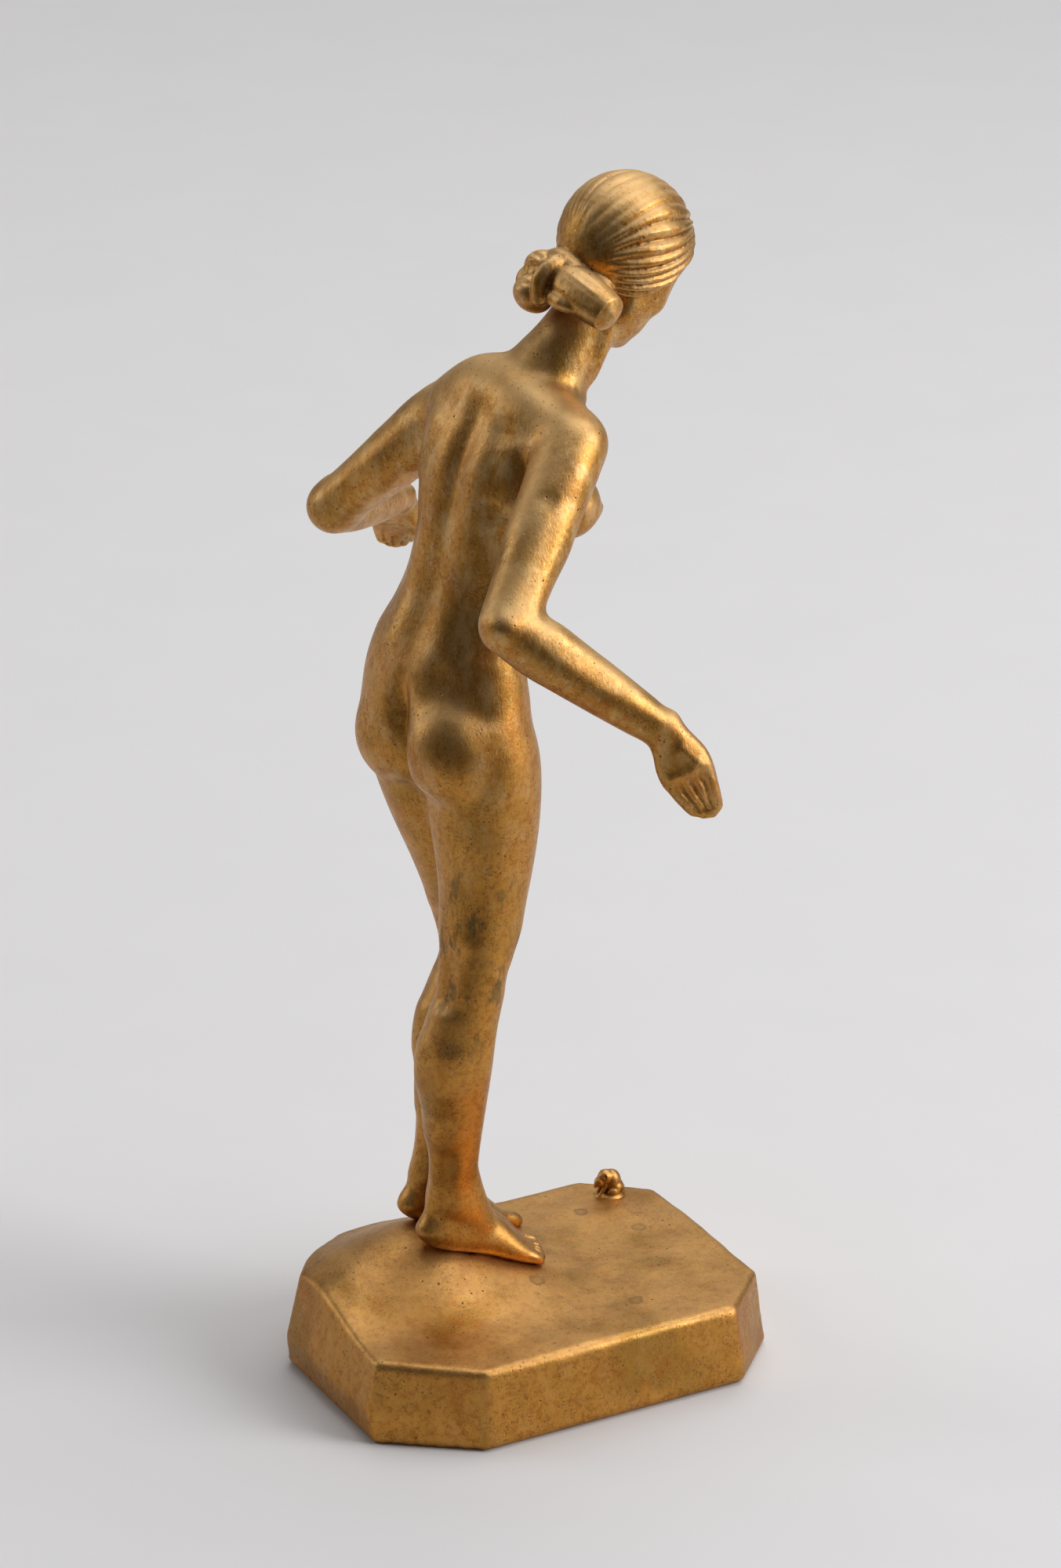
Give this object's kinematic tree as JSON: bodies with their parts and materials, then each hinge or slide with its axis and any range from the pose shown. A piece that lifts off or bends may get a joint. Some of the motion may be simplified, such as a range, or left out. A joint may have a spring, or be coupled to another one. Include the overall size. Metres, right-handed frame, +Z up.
{
  "type": "bronze statuette",
  "caption": "Small bronze statuette of a standing woman leaning forward with her arms out to look at a mouse, on a low plinth with cut corners.",
  "frame": {"origin": "under the middle of the whole model's bounding box, on the surface that the plinth stands on", "axes": "+Z up; +X along the plinth towards the mouse, the way the figure leans and looks; +Y to the figure's left"},
  "size_m": [0.1002, 0.1416, 0.2754],
  "materials": {
    "patinated_bronze": "golden brown patina over cast bronze, satin, finely pitted and mottled",
    "bronze_pin": "plain turned bronze, dulled",
    "steel": "dull zinc-grey steel, lightly oxidised"
  },
  "bodies": {
    "root": {"plinth": "patinated_bronze", "figure": "patinated_bronze", "right_arm": "patinated_bronze", "left_arm": "patinated_bronze", "right_arm_pin": "bronze_pin", "left_arm_pin": "bronze_pin", "mouse": "patinated_bronze", "right_foot_stud": "steel", "right_foot_washer": "steel", "right_foot_nut": "steel", "left_foot_stud": "steel", "left_foot_washer": "steel", "left_foot_nut": "steel", "mouse_screw": "steel"}
  },
  "joints": []
}
